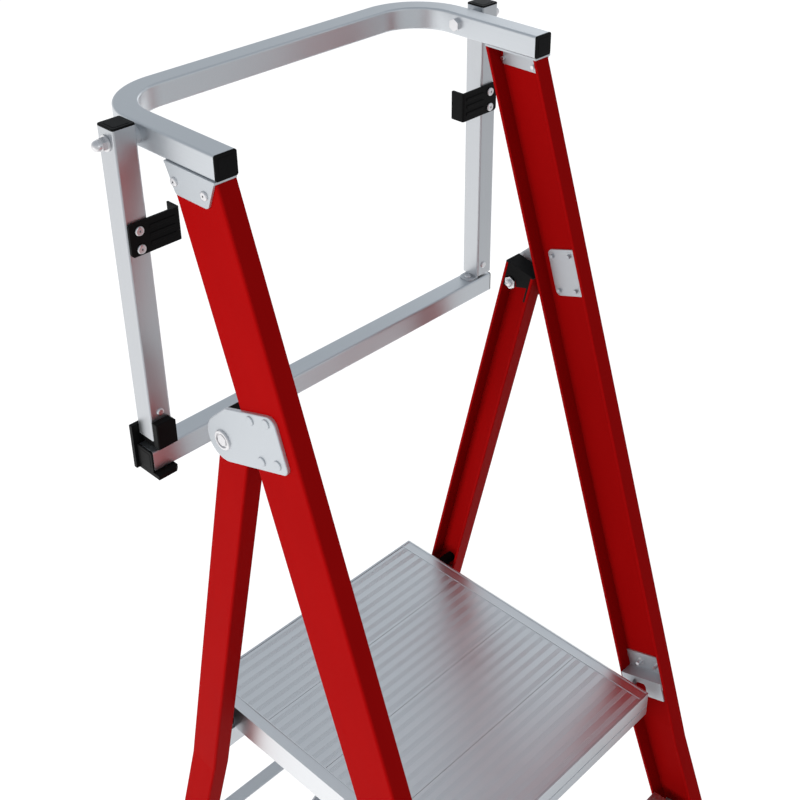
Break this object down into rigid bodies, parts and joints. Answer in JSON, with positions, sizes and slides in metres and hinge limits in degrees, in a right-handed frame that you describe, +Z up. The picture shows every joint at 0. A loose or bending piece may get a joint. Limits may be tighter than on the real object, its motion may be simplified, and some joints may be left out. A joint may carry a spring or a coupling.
{
  "type": "platform step ladder",
  "caption": "Red fibreglass platform step ladder with aluminium treads, a U-shaped guard rail over the platform and a hinged swing gate behind it; the rear legs fold.",
  "frame": {"origin": "on the ground, at the middle of the footprint's bounding box", "axes": "+Z up; +Y away from a person who climbs, towards the rear legs; +X to that person's right"},
  "size_m": [0.7066, 1.059, 2.0051],
  "materials": {
    "red_fibreglass": "satin",
    "aluminium": "satin",
    "bracket_metal": "matte",
    "zinc_steel": "satin",
    "black_plastic": "matte",
    "rubber": "matte"
  },
  "bodies": {
    "front_frame": {"stile_left": "red_fibreglass", "stile_right": "red_fibreglass", "guard_rail": "aluminium", "rail_end_caps": "black_plastic", "rail_bracket_left": "bracket_metal", "rail_bracket_right": "bracket_metal", "rail_bracket_fasteners": "zinc_steel", "hinge_plate_left": "bracket_metal", "hinge_plate_right": "bracket_metal", "backing_plates": "bracket_metal", "hinge_plate_rivets": "zinc_steel", "hinge_bolts": "zinc_steel", "platform_bracket_left": "bracket_metal", "platform_bracket_right": "bracket_metal", "platform_bracket_studs": "zinc_steel", "platform_pivot_bolts": "zinc_steel", "step_1": "aluminium", "step_2": "aluminium", "step_3": "aluminium", "step_brackets": "bracket_metal", "step_rivets": "zinc_steel", "front_foot_left": "rubber", "front_foot_right": "rubber", "gate_bolts": "zinc_steel", "gate_spacers": "bracket_metal"},
    "rear_frame": {"rear_leg_left": "red_fibreglass", "rear_leg_right": "red_fibreglass", "leg_caps": "black_plastic", "leg_sleeves": "bracket_metal", "rest_beam": "aluminium", "beam_cleats": "bracket_metal", "side_bushes": "black_plastic", "bush_screws": "zinc_steel", "rear_brace_upper": "aluminium", "rear_brace_middle": "aluminium", "rear_brace_lower": "aluminium", "brace_rivets": "zinc_steel", "diagonal_braces": "aluminium", "rear_foot_left": "rubber", "rear_foot_right": "rubber"},
    "platform": {"deck_plank_1": "aluminium", "deck_plank_2": "aluminium", "deck_plank_3": "aluminium", "deck_plank_4": "aluminium", "side_trim_left": "aluminium", "side_trim_right": "aluminium", "trim_bolts": "zinc_steel", "front_edge": "aluminium", "rear_edge": "aluminium"},
    "gate": {"gate_post_left": "aluminium", "gate_post_right": "aluminium", "post_caps": "black_plastic", "gate_clip_left": "black_plastic", "gate_clip_right": "black_plastic", "gate_rivets": "zinc_steel", "bar_latch": "black_plastic", "bar_hinge_tab": "bracket_metal", "bar_pivot_rivet": "zinc_steel"},
    "gate_bar_body": {"gate_bar": "aluminium", "bar_end_caps": "black_plastic"}
  },
  "joints": [
    {"name": "rear_fold", "type": "hinge", "parent": "front_frame", "child": "rear_frame", "pos_m": [0, 0.14228, 1.611], "axis": [-1, 0, 0], "range_deg": [0, 31]},
    {"name": "platform_fold", "type": "hinge", "parent": "front_frame", "child": "platform", "pos_m": [0, -0.13842, 0.962], "axis": [1, 0, 0], "range_deg": [0, 71.6]},
    {"name": "gate_swing", "type": "hinge", "parent": "front_frame", "child": "gate", "pos_m": [0, 0.26058, 1.9845], "axis": [1, 0, 0], "range_deg": [0, 270]},
    {"name": "bar_pivot", "type": "hinge", "parent": "gate", "child": "gate_bar_body", "pos_m": [0.292, 0.26058, 1.543], "axis": [0, 0, 1], "range_deg": [0, 6]}
  ],
  "couplings": [
    {"joint": "platform_fold", "follows": "rear_fold", "ratio": 2.309}
  ]
}
